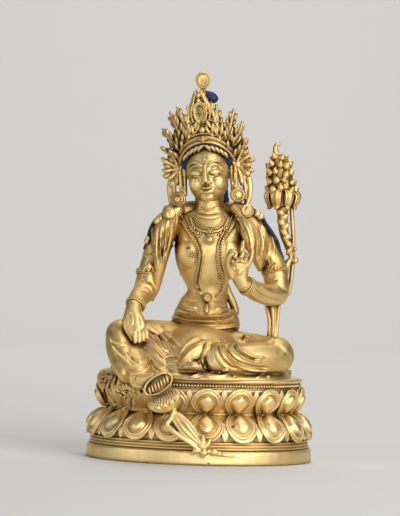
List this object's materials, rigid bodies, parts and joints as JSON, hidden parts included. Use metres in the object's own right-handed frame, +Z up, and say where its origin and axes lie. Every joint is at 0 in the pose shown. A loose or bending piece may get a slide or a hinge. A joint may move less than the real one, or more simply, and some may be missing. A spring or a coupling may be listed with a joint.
{
  "type": "tara figure on a lotus throne",
  "caption": "Cast and gilded seated goddess on a double-lotus throne, one foot on a small lotus, with a crown and a tall lotus at the shoulder.",
  "frame": {"origin": "middle of the flat underside of the throne", "axes": "+Z up, -Y towards the viewer in front of the figure, +X to the viewer's right"},
  "size_m": [0.1394, 0.1101, 0.2398],
  "materials": {
    "throne_gilding": "satin fire gilding, worn to brownish copper on the deck and the plinth, dark in the grooves",
    "figure_gilding": "satin to bright fire gilding, worn to warm copper on the lap, dark in the folds",
    "hair_paint": "matt dark blue mineral paint, rubbed"
  },
  "bodies": {
    "root": {"lotus_throne": "throne_gilding", "tara_figure": "figure_gilding"}
  },
  "joints": []
}
